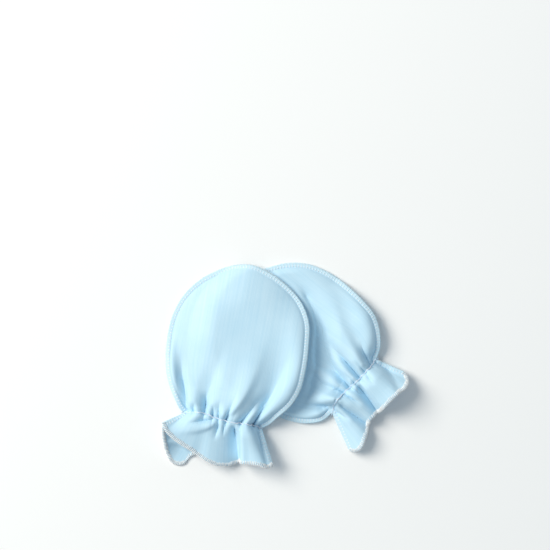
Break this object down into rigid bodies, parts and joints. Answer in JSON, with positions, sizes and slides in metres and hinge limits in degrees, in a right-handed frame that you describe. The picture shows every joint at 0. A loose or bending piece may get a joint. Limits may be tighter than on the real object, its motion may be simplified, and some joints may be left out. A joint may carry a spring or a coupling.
{
  "type": "pair of baby mittens",
  "caption": "Soft thumbless baby mittens in jersey with an elastic wrist and a frilled cuff, laid flat with one partly over the other.",
  "frame": {"origin": "on the surface that the pair lies on, under the centre of the pair's bounding box", "axes": "+Z up from the surface; seen from above, +X to the right and +Y up, with the upper mitten's cuff at -X -Y and the fingertips towards +Y"},
  "size_m": [0.1323, 0.1093, 0.018],
  "materials": {
    "blue_jersey": "matt cotton interlock jersey, light blue",
    "white_elastic": "thin covered elastic, white"
  },
  "bodies": {
    "root": {"upper_front_panel": "blue_jersey", "upper_back_panel": "blue_jersey", "upper_wrist_elastic": "white_elastic", "lower_front_panel": "blue_jersey", "lower_back_panel": "blue_jersey", "lower_wrist_elastic": "white_elastic"}
  },
  "joints": []
}
